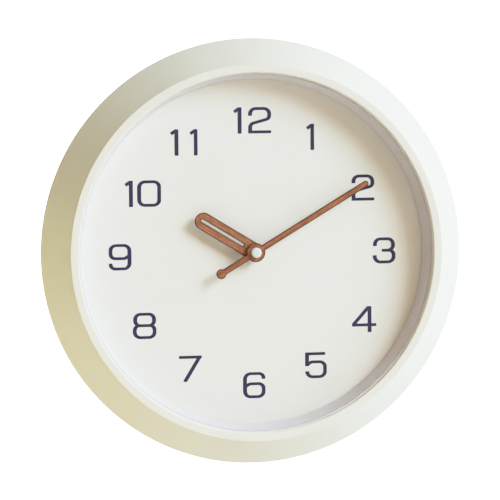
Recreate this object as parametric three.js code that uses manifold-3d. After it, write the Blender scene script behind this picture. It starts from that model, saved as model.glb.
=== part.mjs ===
// A round wall clock: a sloping bezel around a recessed printed dial, two wooden hands, and a
// quartz movement behind the dial. Millimetres, +Z up. The dial faces -Y and the wall is the
// plane y = 0. The origin is where the hanging nail rests, in the wall plane.
//
// Inside this file a place is given on the dial's axis: x to the viewer's right, z up, and a
// depth along the axis that is 0 at the dial's printed face, negative toward the viewer and
// positive toward the wall. One group at the end moves the whole clock to its origin.

import * as THREE from 'three';
import { mergeVertices } from 'three/addons/utils/BufferGeometryUtils.js';
import Module from 'manifold-3d';

const wasm = await Module();
wasm.setup();

// ---- Driving dimensions ----

const OUTER_RADIUS = 150;
const WIDEST_DEPTH = 4.2; // where the bezel is widest
const WALL_DEPTH = 24.6; // the wall plane
const LIP_OUTER = { radius: 131.7, depth: -18.4 };
const LIP_INNER = { radius: 126.2, depth: -18.2 };
const DIAL_OPENING = 121; // radius of the part of the dial that shows
const SHELL = 2.5; // moulded wall thickness
const GAP = 0.3; // clearance between pieces that touch

const SEAT_RADIUS = 129.4; // the bezel's inner sleeve, which holds lens, spacer and dial
const SLEEVE = { radius: SEAT_RADIUS + 2.2, back: 1.6 };
const DISC_RADIUS = SEAT_RADIUS - 0.4;
const LENS = { front: -15, back: -14 };
const SPACER = { front: LENS.back + GAP, back: -GAP, wall: 1.6 };
const DIAL = { front: 0, back: 1, hole: 4 };

const BACK_FRONT = 6.9; // the back case meets the bezel here
const BACK_PLATE = { front: 19, back: 21.2 };
const BACK_RADIUS = { front: 148.3, rear: 143.6 };
const TONGUE = { inner: 142.9, front: 3.9, stop: 2.4 }; // the back case's collar inside the bezel
const DIAL_RIB = { inner: 123.6, outer: 125.6 };
const RIB = { count: 4, start: 22.5, halfThick: 0.8, front: 15, reach: 124 };
const BOSS = { radius: 3.7, front: -5.7, back: 5, holeFront: -4 };
const POST = { radius: 4.3, ledge: 9 };
const WINDOW = { clearance: 1.2, wall: 1.6, front: 14.5 }; // around the movement

const SCREW = { circle: 138, count: 4, shank: 1.2, head: 2.8, seat: 8, length: 10 };
const HANG_HEIGHT = 100; // the nail's height above the dial's axis
const KEYHOLE = { slot: 2.2, entry: 5, drop: 12, wall: 2.5, front: 16.6 };

const MINUTE_HAND = { reach: 94, width: 4.2, hub: 6.75, tail: 28.6, weight: 3.5, front: -8.6, back: -7.4 };
const HOUR_HAND = { reach: 49, width: 12.4, front: -6.3, back: -5.1 };
const HOUR_SLOT = { from: 9.4, to: 44.8, width: 1.9 };
const MINUTE_ANGLE = 59.3; // degrees clockwise from 12
const HOUR_ANGLE = 301.5;
const CAP = { radius: 3.55, front: -11.9, back: -8.9 };
const ARBOR_HOLE = 1.3; // in the minute hand and its cap

// The movement is a square box centred on the dial's axis. Its levels are depths from its front.
const MOVEMENT = { half: 28, front: 2.4, deep: 15.8, corner: 2 };
const GEAR_ROOM = { low: -9.6, high: 26.6, side: 26.6, floor: 1.6 };
const BATTERY_BAY = { low: -27, high: -11.2, floor: 1.2 };
const LID = 1.6; // thickness of the movement's cover
const NECK = { radius: 3.5, bore: 2.75, front: -3.6 };
const GASKET = { inner: 3.9, outer: 10, front: 1.3, back: 2.1 };
const WASHER = { inner: 3.8, outer: 5.6, front: -0.9, back: -0.3 };
const NUT = { bore: 3.8, acrossFlats: 10, front: -3.2, back: -1.2 };
const PIPE = { outer: 2.45, bore: 1.75, front: -6.6 };
const ARBOR = 0.5;
const PIVOT_HOLE = 0.8;
const BRIDGE = { front: 12.1, back: 13.1 };
const ROOT = 1.2; // where posts grow out of the movement's floor
const PIVOT = { front: 0.9, back: 12.9 }; // the ends of the arbors
const WORK = { hour: [2, 3], pinion: [1.9, 4], wheel: [3.8, 4.7], cannon: [3.6, 5] };
const MINUTE_ARBOR = { tip: 1, body: 1.45, shoulder: 1.6, front: -10.5, handSeat: -6.9, end: 6.6 };
const WHEEL_LEVELS = {
  centre: [5.4, 6.15],
  third: [7, 7.7],
  second: [8.6, 9.3],
  intermediate: [10.5, 11.2],
};
const PINION_LEVELS = { third: [5.2, 7.2], second: [6.9, 8.8], intermediate: [8.4, 10.7] };
const CLUTCH = { inner: 1.9, outer: 3.2, front: 6.45, back: 6.7 };
const KNOB = { front: 16.2, back: 18.8, teeth: 24, module: 0.44, stem: 1.2, bore: 1.5, seat: 17.9 };
const ROTOR = { radius: 3, front: 7.4, back: 9.8, pinion: [10.3, 11.5], pivot: 5.3, post: 2 };
const STATOR_LEVELS = [8.1, 9.1];
const BOARD = { left: 14, right: 25.2, low: -8.3, high: 9.5, front: 9.6, back: 10.6 };
const CELL = { radius: 7.05, length: 49, nub: 1.5, nubRadius: 2.6, height: -19.4, level: 9, left: -25.1 };
const CONTACT = { thick: 0.4, face: 25.8, front: 5.2, back: 13, low: -25.5, high: -8.9 };

// Gear teeth are straight-sided. Sizes are in modules, and half widths in shares of the pitch.
const TOOTH = { addendum: 0.8, dedendum: 1.15, rootHalf: 0.3, tipHalf: 0.1 };
const TRAIN = {
  rotor: { pinion: 6, wheel: 30, module: 0.36 },
  intermediate: { pinion: 8, wheel: 48, module: 0.36 },
  second: { pinion: 6, wheel: 45, module: 0.4 },
  third: { pinion: 6, wheel: 48, module: 0.4 * (51 / 54) },
  motion: { pinion: 10, wheel: 30, module: 0.42 },
  hour: { pinion: 8, wheel: 32, module: 0.42 },
  setting: { pinion: 10, wheel: 30, module: 0.42 },
};

const LARGE = 60; // segments around the case rings
const HIDDEN = 36; // segments around rings inside the case
const SMALL = 14; // segments around shafts, screws and holes

// ---- Shapes ----

const radians = (degrees) => (degrees * Math.PI) / 180;
const polar = (radius, angle) => [radius * Math.cos(angle), radius * Math.sin(angle)];
const level = (depth) => MOVEMENT.front + depth;

// Turns a closed three.js geometry into a solid whose faces point out.
function solidFrom(geometry) {
  const bare = geometry.clone();
  bare.deleteAttribute('normal');
  bare.deleteAttribute('uv');
  const merged = mergeVertices(bare, 1e-4);
  const index = merged.index.array;
  const corners = [];
  for (let i = 0; i < index.length; i += 3) {
    const [a, b, c] = [index[i], index[i + 1], index[i + 2]];
    if (a !== b && b !== c && c !== a) corners.push(a, b, c);
  }
  const vertProperties = new Float32Array(merged.attributes.position.array);
  const build = (list) =>
    new wasm.Manifold(new wasm.Mesh({ numProp: 3, vertProperties, triVerts: new Uint32Array(list) }));
  const solid = build(corners);
  return solid.volume() > 0 ? solid : build(corners.toReversed());
}

// Turns a closed outline of [radius, depth] corners around the dial's axis.
function turned(corners, segments = LARGE) {
  const outline = corners.map(([radius, depth]) => new THREE.Vector2(radius, depth));
  const onAxis = corners[0][0] === 0 && corners.at(-1)[0] === 0;
  if (!onAxis) outline.push(outline[0].clone());
  return solidFrom(new THREE.LatheGeometry(outline, segments));
}

// Extrudes a shape drawn as the viewer sees it, from one depth to another.
function plate(shape, front, back, curveSegments = SMALL) {
  const depth = back - front;
  const geometry = new THREE.ExtrudeGeometry(shape, { depth, bevelEnabled: false, curveSegments });
  geometry.rotateX(Math.PI / 2);
  geometry.translate(0, back, 0);
  return solidFrom(geometry);
}

function disc(radius, front, back, x = 0, z = 0, segments = SMALL) {
  const corners = [[0, front], [radius, front], [radius, back], [0, back]];
  return turned(corners, segments).translate([x, 0, z]);
}

function ring(inner, outer, front, back, segments = SMALL) {
  return turned([[inner, front], [outer, front], [outer, back], [inner, back]], segments);
}

function box(x0, x1, front, back, z0, z1) {
  const geometry = new THREE.BoxGeometry(x1 - x0, back - front, z1 - z0);
  geometry.translate((x0 + x1) / 2, (front + back) / 2, (z0 + z1) / 2);
  return solidFrom(geometry);
}

function roundedRectangle(x0, x1, z0, z1, corner) {
  const shape = new THREE.Shape();
  shape.moveTo(x0 + corner, z0);
  shape.lineTo(x1 - corner, z0);
  shape.absarc(x1 - corner, z0 + corner, corner, -Math.PI / 2, 0);
  shape.absarc(x1 - corner, z1 - corner, corner, 0, Math.PI / 2);
  shape.absarc(x0 + corner, z1 - corner, corner, Math.PI / 2, Math.PI);
  shape.absarc(x0 + corner, z0 + corner, corner, Math.PI, 1.5 * Math.PI);
  return shape;
}

const polygon = (corners) => new THREE.Shape(corners.map(([x, z]) => new THREE.Vector2(x, z)));

// A straight slot with round ends, between two heights on the vertical centre line.
function stadium(halfWidth, low, high) {
  const shape = new THREE.Shape();
  shape.absarc(0, high, halfWidth, 0, Math.PI);
  shape.absarc(0, low, halfWidth, Math.PI, 2 * Math.PI);
  return shape;
}

const joined = (...solids) => solids.reduce((whole, piece) => whole.add(piece));
const without = (solid, ...cutters) => solid.subtract(joined(...cutters));
const ringOfPlaces = (count, radius, start) =>
  Array.from({ length: count }, (_, i) => polar(radius, start + (i * 2 * Math.PI) / count));

// ---- Gears ----

function toothedDisc(teeth, module, phase, front, back, [x, z]) {
  const pitch = (2 * Math.PI) / teeth;
  const middle = (module * teeth) / 2;
  const root = middle - TOOTH.dedendum * module;
  const tip = middle + TOOTH.addendum * module;
  const flanks = [
    [-TOOTH.rootHalf, root],
    [-TOOTH.tipHalf, tip],
    [TOOTH.tipHalf, tip],
    [TOOTH.rootHalf, root],
  ];
  const corners = [];
  for (let tooth = 0; tooth < teeth; tooth += 1) {
    for (const [share, radius] of flanks) corners.push(polar(radius, phase + (tooth + share) * pitch));
  }
  return plate(polygon(corners), front, back).translate([x, 0, z]);
}

// Where the next axis lies, and the phase that puts a gap opposite the driving gear's tooth.
function meshing({ pinion, wheel, module }, [x, z], angle, phase, pinionDrives = true) {
  const distance = (module * (pinion + wheel)) / 2;
  const [driver, driven] = pinionDrives ? [pinion, wheel] : [wheel, pinion];
  const turnedBy = ((phase - angle) * driver) / driven;
  const [dx, dz] = polar(distance, angle);
  return { axis: [x + dx, z + dz], phase: angle + Math.PI - turnedBy + Math.PI / driven };
}

// The train runs rotor, intermediate, second, third, centre. It is laid out from the centre.
const CENTRE = [0, 0];
const toThird = radians(10);
const toIntermediate = radians(90);
const toRotor = radians(40);
const toMotion = radians(150);
const thirdAxis = meshing(TRAIN.third, CENTRE, toThird, 0).axis;
const intermediateAxis = meshing(TRAIN.intermediate, CENTRE, toIntermediate, 0).axis;
const rotorAxis = meshing(TRAIN.rotor, intermediateAxis, toRotor, 0).axis;
const motionAxis = meshing(TRAIN.motion, CENTRE, toMotion, 0).axis;
const settingAxis = meshing(TRAIN.setting, motionAxis, toMotion, 0).axis;

// ---- Case ----

// Radius of the bezel's outer cone at a depth.
function coneRadius(depth) {
  const slope = (OUTER_RADIUS - LIP_OUTER.radius) / (WIDEST_DEPTH - 0.6 - LIP_OUTER.depth);
  return LIP_OUTER.radius + slope * (depth - LIP_OUTER.depth);
}

const screwPlaces = ringOfPlaces(SCREW.count, SCREW.circle, radians(45));

function makeBezel() {
  const across = 1.35 * SHELL; // the shell's thickness measured along a radius
  const edgeDepth = WIDEST_DEPTH - 1.4;
  const tongueRoom = coneRadius(TONGUE.stop) - across;
  const coneMeetsSleeve = LIP_OUTER.depth + 4;
  const shell = turned([
    [LIP_INNER.radius - 0.6, LENS.front - GAP],
    [LIP_INNER.radius, LIP_INNER.depth],
    [LIP_OUTER.radius - 0.8, LIP_OUTER.depth],
    [LIP_OUTER.radius + 0.3, LIP_OUTER.depth + 0.4],
    [coneRadius(edgeDepth), edgeDepth],
    [OUTER_RADIUS, WIDEST_DEPTH],
    [OUTER_RADIUS - 0.4, WIDEST_DEPTH + 1.5],
    [BACK_RADIUS.front, BACK_FRONT - GAP],
    [tongueRoom, BACK_FRONT - GAP],
    [tongueRoom, TONGUE.stop],
    [SLEEVE.radius, coneMeetsSleeve],
    [SLEEVE.radius, SLEEVE.back],
    [SEAT_RADIUS, SLEEVE.back],
    [SEAT_RADIUS, LENS.front - GAP],
  ]);
  const bosses = [];
  const holes = [];
  for (const [x, z] of screwPlaces) {
    const angle = Math.atan2(z, x);
    const rib = box(SLEEVE.radius - 1, SCREW.circle - 2, BOSS.front, SLEEVE.back, -1, 1);
    bosses.push(disc(BOSS.radius, BOSS.front, BOSS.back, x, z));
    bosses.push(rib.rotate([0, (-angle * 180) / Math.PI, 0]));
    holes.push(disc(SCREW.shank + GAP, BOSS.holeFront, BOSS.back + 1, x, z, 12));
  }
  return without(joined(shell, ...bosses), ...holes);
}

function makeLens() {
  return disc(DISC_RADIUS, LENS.front, LENS.back, 0, 0, LARGE);
}

function makeSpacerRing() {
  const slope = (LIP_INNER.radius - DIAL_OPENING) / LIP_INNER.depth;
  const face = (depth) => DIAL_OPENING + slope * depth;
  const flange = SPACER.front + SPACER.wall;
  return turned([
    [face(SPACER.front), SPACER.front],
    [DISC_RADIUS, SPACER.front],
    [DISC_RADIUS, flange],
    [face(flange) + SPACER.wall, flange],
    [face(SPACER.back) + SPACER.wall, SPACER.back],
    [face(SPACER.back), SPACER.back],
  ]);
}

function makeDial() {
  return ring(DIAL.hole, DISC_RADIUS, DIAL.front, DIAL.back, LARGE);
}

function makeBackCase() {
  const wallAt = (depth) => {
    const share = (depth - BACK_FRONT) / (WALL_DEPTH - BACK_FRONT);
    return BACK_RADIUS.front + share * (BACK_RADIUS.rear - BACK_RADIUS.front);
  };
  const tongueOuter = coneRadius(TONGUE.stop) - 1.35 * SHELL - 0.4;
  const tray = turned([
    [0, BACK_PLATE.front],
    [wallAt(BACK_PLATE.front) - SHELL, BACK_PLATE.front],
    [TONGUE.inner, TONGUE.front + 4],
    [TONGUE.inner, TONGUE.front],
    [tongueOuter, TONGUE.front],
    [tongueOuter, BACK_FRONT],
    [BACK_RADIUS.front, BACK_FRONT],
    [BACK_RADIUS.rear, WALL_DEPTH],
    [BACK_RADIUS.rear - SHELL, WALL_DEPTH],
    [BACK_RADIUS.rear - SHELL + 0.6, BACK_PLATE.back],
    [0, BACK_PLATE.back],
  ]);
  const rooted = BACK_PLATE.front + 0.5; // how far ribs, posts and walls sink into the plate
  const outside = BACK_PLATE.back + 1;
  const dialRib = ring(DIAL_RIB.inner, DIAL_RIB.outer, DIAL.back + 0.4, rooted, HIDDEN);
  const half = MOVEMENT.half + WINDOW.clearance;
  const wallHalf = half + WINDOW.wall;
  const collarShape = roundedRectangle(-wallHalf, wallHalf, -wallHalf, wallHalf, 3);
  const collar = plate(collarShape, WINDOW.front, rooted, 4);
  const window = plate(roundedRectangle(-half, half, -half, half, 2), WINDOW.front - 1, outside, 4);
  const entryHeight = HANG_HEIGHT - KEYHOLE.drop;
  const bossShape = stadium(KEYHOLE.entry + KEYHOLE.wall, entryHeight, HANG_HEIGHT);
  const keyBoss = plate(bossShape, KEYHOLE.front, rooted, 8);
  const keySlot = plate(stadium(KEYHOLE.slot, entryHeight, HANG_HEIGHT), KEYHOLE.front - 1, outside, 8);
  const keyEntry = disc(KEYHOLE.entry, KEYHOLE.front - 1, outside, 0, entryHeight);
  const posts = [];
  const bores = [];
  for (const [x, z] of screwPlaces) {
    posts.push(disc(POST.radius, BOSS.back + GAP, rooted, x, z));
    bores.push(disc(SCREW.shank + 0.5, BOSS.back, POST.ledge, x, z, 12));
    bores.push(disc(SCREW.head + 0.4, SCREW.seat, outside, x, z));
  }
  const ribs = Array.from({ length: RIB.count }, (_, i) => {
    const rib = box(half + WINDOW.clearance, RIB.reach, RIB.front, rooted, -RIB.halfThick, RIB.halfThick);
    return rib.rotate([0, RIB.start + (i * 360) / RIB.count, 0]);
  });
  const solid = joined(tray, dialRib, collar, keyBoss, ...posts, ...ribs);
  return without(solid, window, keySlot, keyEntry, ...bores);
}

// A self-tapping screw with a domed cross-recess head, driven from the back.
function makeScrew([x, z]) {
  const { shank, head, seat, length } = SCREW;
  const top = seat + 2.1;
  const recess = { front: seat + 1.2, back: seat + 3, reach: 1.5, half: 0.35 };
  const body = turned(
    [
      [0, seat - length],
      [shank, seat - length + 1.5],
      [shank, seat + GAP],
      [head, seat + GAP],
      [head, seat + 1.4],
      [head * 0.6, top],
      [0, top],
    ],
    16,
  );
  const cross = joined(
    box(-recess.reach, recess.reach, recess.front, recess.back, -recess.half, recess.half),
    box(-recess.half, recess.half, recess.front, recess.back, -recess.reach, recess.reach),
  );
  return body.subtract(cross).translate([x, 0, z]);
}

function makeShaftNut() {
  const { bore, acrossFlats, front, back } = NUT;
  const hexagon = polygon(ringOfPlaces(6, acrossFlats / 2 / Math.cos(Math.PI / 6), 0));
  return without(plate(hexagon, front, back), disc(bore, front - 0.8, back + 1.2, 0, 0, 24));
}

// ---- Hands ----

// Hands are drawn pointing to 12 and turned by their group.
function makeMinuteHand() {
  const { reach, width, hub, tail, weight, front, back } = MINUTE_HAND;
  const half = width / 2;
  const blade = plate(stadium(half, -tail, reach - half), front, back, 8);
  const hubDisc = disc(hub, front, back, 0, 0, 40);
  const tailDisc = disc(weight, front, back, 0, -tail, 28);
  return without(joined(blade, hubDisc, tailDisc), disc(ARBOR_HOLE, front - 1, back + 1));
}

function makeHourHand() {
  const { reach, width, front, back } = HOUR_HAND;
  const half = width / 2;
  const blade = plate(stadium(half, 0, reach - half), front, back, 24);
  const round = HOUR_SLOT.width / 2;
  const slot = stadium(round, HOUR_SLOT.from + round, HOUR_SLOT.to - round);
  const cut = plate(slot, front - 1, back + 1, 6);
  return without(blade, cut, disc(PIPE.outer + GAP, front - 1, back + 1));
}

function makeHandCap() {
  const { radius, front, back } = CAP;
  const edge = 0.4;
  const outline = [[0, front], [radius - edge, front], [radius, front + edge], [radius, back], [0, back]];
  return turned(outline, 32).subtract(disc(ARBOR_HOLE, front + 1, back + 1));
}

// ---- Movement ----

// Posts carry the bridge. They pass through holes in the stator and the circuit board.
const bridgePosts = [[-16.5, -3], [13, 14], [-6.5, 16], [20.5, -5]];
const POSTS = { radius: 1.2, tip: 0.6 };
const pivotAxes = [CENTRE, thirdAxis, intermediateAxis, rotorAxis];

function makeMovementCase() {
  const { half, front, deep, corner } = MOVEMENT;
  const back = front + deep;
  const open = back + 1;
  const { side, low, high } = GEAR_ROOM;
  const outer = plate(roundedRectangle(-half, half, -half, half, corner), front, back, 4);
  const room = box(-side, side, level(GEAR_ROOM.floor), open, low, high);
  const bay = box(-side, side, level(BATTERY_BAY.floor), open, BATTERY_BAY.low, BATTERY_BAY.high);
  const notch = 3 * CONTACT.thick; // where each contact passes from the bay to the gear room
  const contactSlots = [-side, side - notch].map((x) =>
    box(x, x + notch, level(4.5), open, BATTERY_BAY.high - 1, low + 1),
  );
  const tub = without(outer, room, bay, ...contactSlots);
  const neck = disc(NECK.radius, NECK.front, front + 0.5, 0, 0, 24);
  const rotorPost = disc(ROTOR.post, level(ROOT), level(ROTOR.pivot + 0.6), ...rotorAxis, 16);
  const posts = bridgePosts.flatMap(([x, z]) => [
    disc(POSTS.radius, level(ROOT), level(BRIDGE.front - GAP), x, z, 12),
    disc(POSTS.tip, level(ROOT), level(BRIDGE.back + GAP), x, z, 8),
  ]);
  const bore = disc(NECK.bore, NECK.front - 1, level(2), 0, 0, 24);
  const pivots = [thirdAxis, intermediateAxis, motionAxis].map((axis) =>
    disc(PIVOT_HOLE, level(PIVOT.front - GAP), level(2), ...axis, 10),
  );
  const rotorPivot = disc(PIVOT_HOLE, level(ROTOR.pivot - GAP), level(7), ...rotorAxis, 10);
  return without(joined(tub, neck, rotorPost, ...posts), bore, ...pivots, rotorPivot);
}

function makeMovementCover() {
  const { side, low, high } = GEAR_ROOM;
  const back = MOVEMENT.front + MOVEMENT.deep;
  const lid = box(-side + GAP, side - GAP, back - LID, back, low + GAP, high - GAP);
  return without(lid, disc(KNOB.stem + 0.4, back - LID - 1, back + 1, ...settingAxis, 16));
}

function makeTrainBridge() {
  const outline = polygon([[-18.5, -5.5], [22.5, -7.5], [22.5, -2.5], [15, 5], [15, 17.6], [-18.5, 17.6]]);
  const front = level(BRIDGE.front);
  const back = level(BRIDGE.back);
  const holes = [
    ...pivotAxes.map((axis) => disc(PIVOT_HOLE, front - 1, back + 1, ...axis, 10)),
    ...bridgePosts.map((place) => disc(POSTS.tip + GAP, front - 1, back + 1, ...place, 8)),
    disc(KNOB.stem + GAP, front - 1, back + 1, ...settingAxis, 12),
  ];
  return without(plate(outline, front, back), ...holes);
}

const pipePhase = radians(3);
const motionPair = meshing(TRAIN.motion, CENTRE, toMotion, 0);
const hourMesh = meshing(TRAIN.hour, motionAxis, toMotion + Math.PI, pipePhase);

function makeHourWheel() {
  const { wheel, module } = TRAIN.hour;
  const [front, back] = WORK.hour.map(level);
  const gear = toothedDisc(wheel, module, hourMesh.phase, front, back, CENTRE);
  const pipe = disc(PIPE.outer, PIPE.front, back, 0, 0, 24);
  return without(joined(gear, pipe), disc(PIPE.bore, PIPE.front - 1, back + 1));
}

// The minute arbor carries the cannon pinion, and the centre wheel turns on its rear end.
function makeMinuteArbor() {
  const { pinion, module } = TRAIN.motion;
  const { tip, body, shoulder, front, handSeat } = MINUTE_ARBOR;
  const [cannonFront, cannonBack] = WORK.cannon.map(level);
  const end = level(MINUTE_ARBOR.end);
  const shaft = turned(
    [
      [0, front],
      [tip, front],
      [tip, handSeat],
      [body, handSeat],
      [body, cannonFront],
      [shoulder, cannonFront],
      [shoulder, end],
      [0, end],
    ],
    SMALL,
  );
  const cannon = toothedDisc(pinion, module, 0, cannonFront, cannonBack, CENTRE);
  return without(joined(shaft, cannon), disc(PIVOT_HOLE, end - 2, end + 1, 0, 0, 10));
}

function makeClutchSpring() {
  return ring(CLUTCH.inner, CLUTCH.outer, level(CLUTCH.front), level(CLUTCH.back), 16);
}

function makeMinuteWorkWheel() {
  const { pinion, module } = TRAIN.hour;
  const { wheel, module: wheelModule } = TRAIN.motion;
  return joined(
    toothedDisc(wheel, wheelModule, motionPair.phase, ...WORK.wheel.map(level), motionAxis),
    toothedDisc(pinion, module, pipePhase, ...WORK.pinion.map(level), motionAxis),
    disc(ARBOR, level(PIVOT.front), level(WORK.wheel[1] + 0.5), ...motionAxis, 10),
  );
}

function makeSettingShaft() {
  const { pinion, module } = TRAIN.setting;
  const { phase } = meshing(TRAIN.setting, motionAxis, toMotion, motionPair.phase, false);
  return joined(
    toothedDisc(pinion, module, phase, ...WORK.cannon.map(level), settingAxis),
    disc(KNOB.stem, level(WORK.pinion[0]), level(KNOB.seat - GAP), ...settingAxis, 16),
  );
}

function makeSettingKnob() {
  const front = level(KNOB.front);
  const knurl = toothedDisc(KNOB.teeth, KNOB.module, 0, front, level(KNOB.back), settingAxis);
  return without(knurl, disc(KNOB.bore, front - 1, level(KNOB.seat), ...settingAxis, 16));
}

// Each running wheel is a wheel, its pinion and its arbor, moulded as one.
function makeTrainWheel({ axis, wheel, pinion, arbor }) {
  return joined(
    toothedDisc(wheel.teeth, wheel.module, wheel.phase, ...wheel.levels.map(level), axis),
    toothedDisc(pinion.teeth, pinion.module, 0, ...pinion.levels.map(level), axis),
    disc(ARBOR, ...arbor.map(level), ...axis, 10),
  );
}

const opposite = (angle) => angle + Math.PI;
const centrePhase = meshing(TRAIN.third, thirdAxis, opposite(toThird), 0).phase;
const thirdPhase = meshing(TRAIN.second, CENTRE, toThird, 0).phase;
const secondPhase = meshing(TRAIN.intermediate, intermediateAxis, opposite(toIntermediate), 0).phase;
const intermediatePhase = meshing(TRAIN.rotor, rotorAxis, opposite(toRotor), 0).phase;

function makeCentreWheel() {
  const { wheel, module } = TRAIN.third;
  const [front, back] = WHEEL_LEVELS.centre.map(level);
  const gear = toothedDisc(wheel, module, centrePhase, front, back, CENTRE);
  return without(gear, disc(MINUTE_ARBOR.shoulder + GAP, front - 1, back + 1));
}

// One pair's wheel and the next pair's pinion turn together.
function runningWheel(axis, driver, phase, wheelLevels, driven, pinionLevels, arbor) {
  return {
    axis,
    wheel: { teeth: driver.wheel, module: driver.module, phase, levels: wheelLevels },
    pinion: { teeth: driven.pinion, module: driven.module, levels: pinionLevels },
    arbor,
  };
}

const FULL_ARBOR = [PIVOT.front, PIVOT.back];
const thirdWheel = runningWheel(
  thirdAxis, TRAIN.second, thirdPhase, WHEEL_LEVELS.third, TRAIN.third, PINION_LEVELS.third, FULL_ARBOR,
);
const secondWheel = runningWheel(
  CENTRE, TRAIN.intermediate, secondPhase, WHEEL_LEVELS.second,
  TRAIN.second, PINION_LEVELS.second, [4.9, PIVOT.back],
);
const intermediateWheel = runningWheel(
  intermediateAxis, TRAIN.rotor, intermediatePhase, WHEEL_LEVELS.intermediate,
  TRAIN.intermediate, PINION_LEVELS.intermediate, FULL_ARBOR,
);

function makeRotorShaft() {
  const { pinion, module } = TRAIN.rotor;
  return joined(
    toothedDisc(pinion, module, 0, ...ROTOR.pinion.map(level), rotorAxis),
    disc(ARBOR, level(ROTOR.pivot), level(PIVOT.back), ...rotorAxis, 10),
  );
}

function makeRotorMagnet() {
  const [x, z] = rotorAxis;
  const magnet = ring(ARBOR + GAP, ROTOR.radius, level(ROTOR.front), level(ROTOR.back), 24);
  return magnet.translate([x, 0, z]);
}

// The stator plate, with legs up to the ends of the coil's core, holes for two posts and a notch
// for the intermediate wheel's pinion.
const STATOR = { half: 14.4, leg: 4, low: 9.5, shoulder: 18.7, high: 24.5 };

function makeStator() {
  const { half, leg, low, shoulder, high } = STATOR;
  const [x] = rotorAxis;
  const outline = polygon([
    [x - half, low],
    [x + half, low],
    [x + half, high],
    [x + half - leg, high],
    [x + half - leg, shoulder],
    [x - half + leg, shoulder],
    [x - half + leg, high],
    [x - half, high],
  ]);
  const [front, back] = STATOR_LEVELS.map(level);
  const through = (radius, place, segments) => disc(radius, front - 1, back + 1, ...place, segments);
  const holes = [
    through(ROTOR.radius + 0.6, rotorAxis, 24),
    through(2.1, intermediateAxis, 16),
    ...bridgePosts.slice(1, 3).map((place) => through(POSTS.radius + GAP, place, 12)),
  ];
  return without(plate(outline, front, back), ...holes);
}

const coilHalf = STATOR.half - STATOR.leg - 0.4;
const COIL = { z: 22.3, level: 9.9, left: rotorAxis[0] - coilHalf, right: rotorAxis[0] + coilHalf };
const BOBBIN = { tube: 2, flange: 3.3, flangeThick: 0.8 };
const CORE = { halfThick: 0.5, halfWide: 1.2 };
const WINDING = { inner: 2.3, outer: 3.1 };

// A cylinder along X, for the coil and the cell.
function bar(radius, x0, x1, depth, z, segments = SMALL) {
  const geometry = new THREE.CylinderGeometry(radius, radius, x1 - x0, segments);
  geometry.rotateZ(Math.PI / 2);
  geometry.translate((x0 + x1) / 2, depth, z);
  return solidFrom(geometry);
}

function makeCoilCore() {
  const [x] = rotorAxis;
  const { half } = STATOR;
  const [front, back] = [-CORE.halfThick, CORE.halfThick].map((offset) => level(COIL.level + offset));
  return box(x - half, x + half, front, back, COIL.z - CORE.halfWide, COIL.z + CORE.halfWide);
}

function makeCoilBobbin() {
  const { left, right, z } = COIL;
  const { tube, flange, flangeThick } = BOBBIN;
  const depth = level(COIL.level);
  const spool = joined(
    bar(tube, left, right, depth, z),
    bar(flange, left, left + flangeThick, depth, z),
    bar(flange, right - flangeThick, right, depth, z),
  );
  const thick = CORE.halfThick + GAP;
  const wide = CORE.halfWide + GAP;
  return spool.subtract(box(left - 1, right + 1, depth - thick, depth + thick, z - wide, z + wide));
}

function makeCoilWinding() {
  const depth = level(COIL.level);
  const inset = BOBBIN.flangeThick + GAP;
  const [left, right] = [COIL.left + inset, COIL.right - inset];
  const wound = bar(WINDING.outer, left, right, depth, COIL.z);
  return wound.subtract(bar(WINDING.inner, left - 1, right + 1, depth, COIL.z));
}

function makeCircuitBoard() {
  const { left, right, low, high } = BOARD;
  const [front, back] = [level(BOARD.front), level(BOARD.back)];
  const hole = disc(POSTS.radius + GAP, front - 0.6, back + 0.4, ...bridgePosts[3], 12);
  return without(box(left, right, front, back, low, high), hole);
}

// A drop of resin over the chip, on the board's front.
function makeTimingChip() {
  const back = level(BOARD.front - GAP);
  return turned([[0, back - 1], [1.9, back - 1], [2.6, back - 0.6], [2.6, back], [0, back]], 16)
    .translate([18, 0, 4]);
}

function makeQuartzCrystal() {
  const [radius, length] = [1, 6];
  const geometry = new THREE.CylinderGeometry(radius, radius, length, 12);
  geometry.rotateX(Math.PI / 2);
  geometry.translate(22.8, level(BOARD.front - GAP - radius), 4.5);
  return solidFrom(geometry);
}

function makePositiveContact() {
  const { thick, face, front, back, low } = CONTACT;
  return box(face, face + thick, level(front), level(back), low, -7.5);
}

// The strip runs from the cell's flat end along the bay's wall to the circuit board.
function makeNegativeContact() {
  const { thick, face, front, back, low, high } = CONTACT;
  const pad = bar(CELL.nubRadius, -face - 0.1, -face + GAP, level(CELL.level), CELL.height, 16);
  return joined(
    box(-face - thick, -face, level(front), level(back), low, high),
    box(-face - thick, 13.5, level(10), level(back), high - thick, high),
    pad,
  );
}

function makeBattery() {
  const { radius, length, nub, nubRadius, height, left } = CELL;
  const depth = level(CELL.level);
  return joined(
    bar(radius, left, left + length, depth, height, 32),
    bar(nubRadius, left + length - 1, left + length + nub, depth, height, 20),
  );
}

// ---- Finishes: colour, roughness, metalness ----

const FINISH = {
  cream: [0xe9e7da, 0.5, 0],
  white: [0xf3f4f2, 0.55, 0],
  clear: [0xf4fafa, 0.05, 0],
  paper: [0xecece6, 0.7, 0],
  wood: [0xa5704f, 0.55, 0],
  cap: [0xeceef2, 0.4, 0],
  black: [0x1c1c1e, 0.5, 0],
  rubber: [0x2a2a2a, 0.85, 0],
  brass: [0xc9a35a, 0.3, 1],
  steel: [0xb9bcc0, 0.35, 1],
  gearWhite: [0xe8e6dc, 0.5, 0],
  gearBlue: [0x9fb6c4, 0.5, 0],
  magnet: [0x3a3a3e, 0.6, 0],
  copper: [0xb4673a, 0.35, 1],
  board: [0x2f6b3c, 0.6, 0],
  cell: [0x3c5f46, 0.4, 0],
};

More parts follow.
